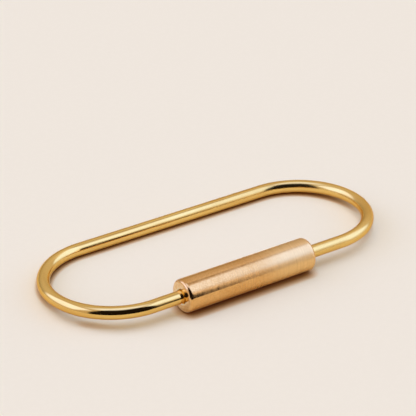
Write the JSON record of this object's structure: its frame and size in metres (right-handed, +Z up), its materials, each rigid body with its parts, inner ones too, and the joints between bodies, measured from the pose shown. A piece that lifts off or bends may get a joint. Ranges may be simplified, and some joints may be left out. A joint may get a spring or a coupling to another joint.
{
  "type": "key ring",
  "caption": "Oval wire key ring shut by a turned sleeve that slides along its front side to bare a gap for keys.",
  "frame": {"origin": "on the table, under the middle of the whole ring as it lies at rest with the sleeve shut", "axes": "+X along the sleeve from the near bend to the far bend, +Y from the sleeve to the back of the loop, +Z up from the table"},
  "size_m": [0.0714, 0.031, 0.0063],
  "materials": {
    "wire_brass": "polished yellow brass wire",
    "sleeve_bronze": "turned rose bronze, satin barrel and bright end faces"
  },
  "bodies": {
    "ring": {"wire_loop": "wire_brass"},
    "slider": {"sleeve": "sleeve_bronze"}
  },
  "joints": [
    {"name": "sleeve_slide", "type": "slide", "parent": "ring", "child": "slider", "axis": [1, 0, 0], "range_m": [-0.0057, 0.008]}
  ]
}
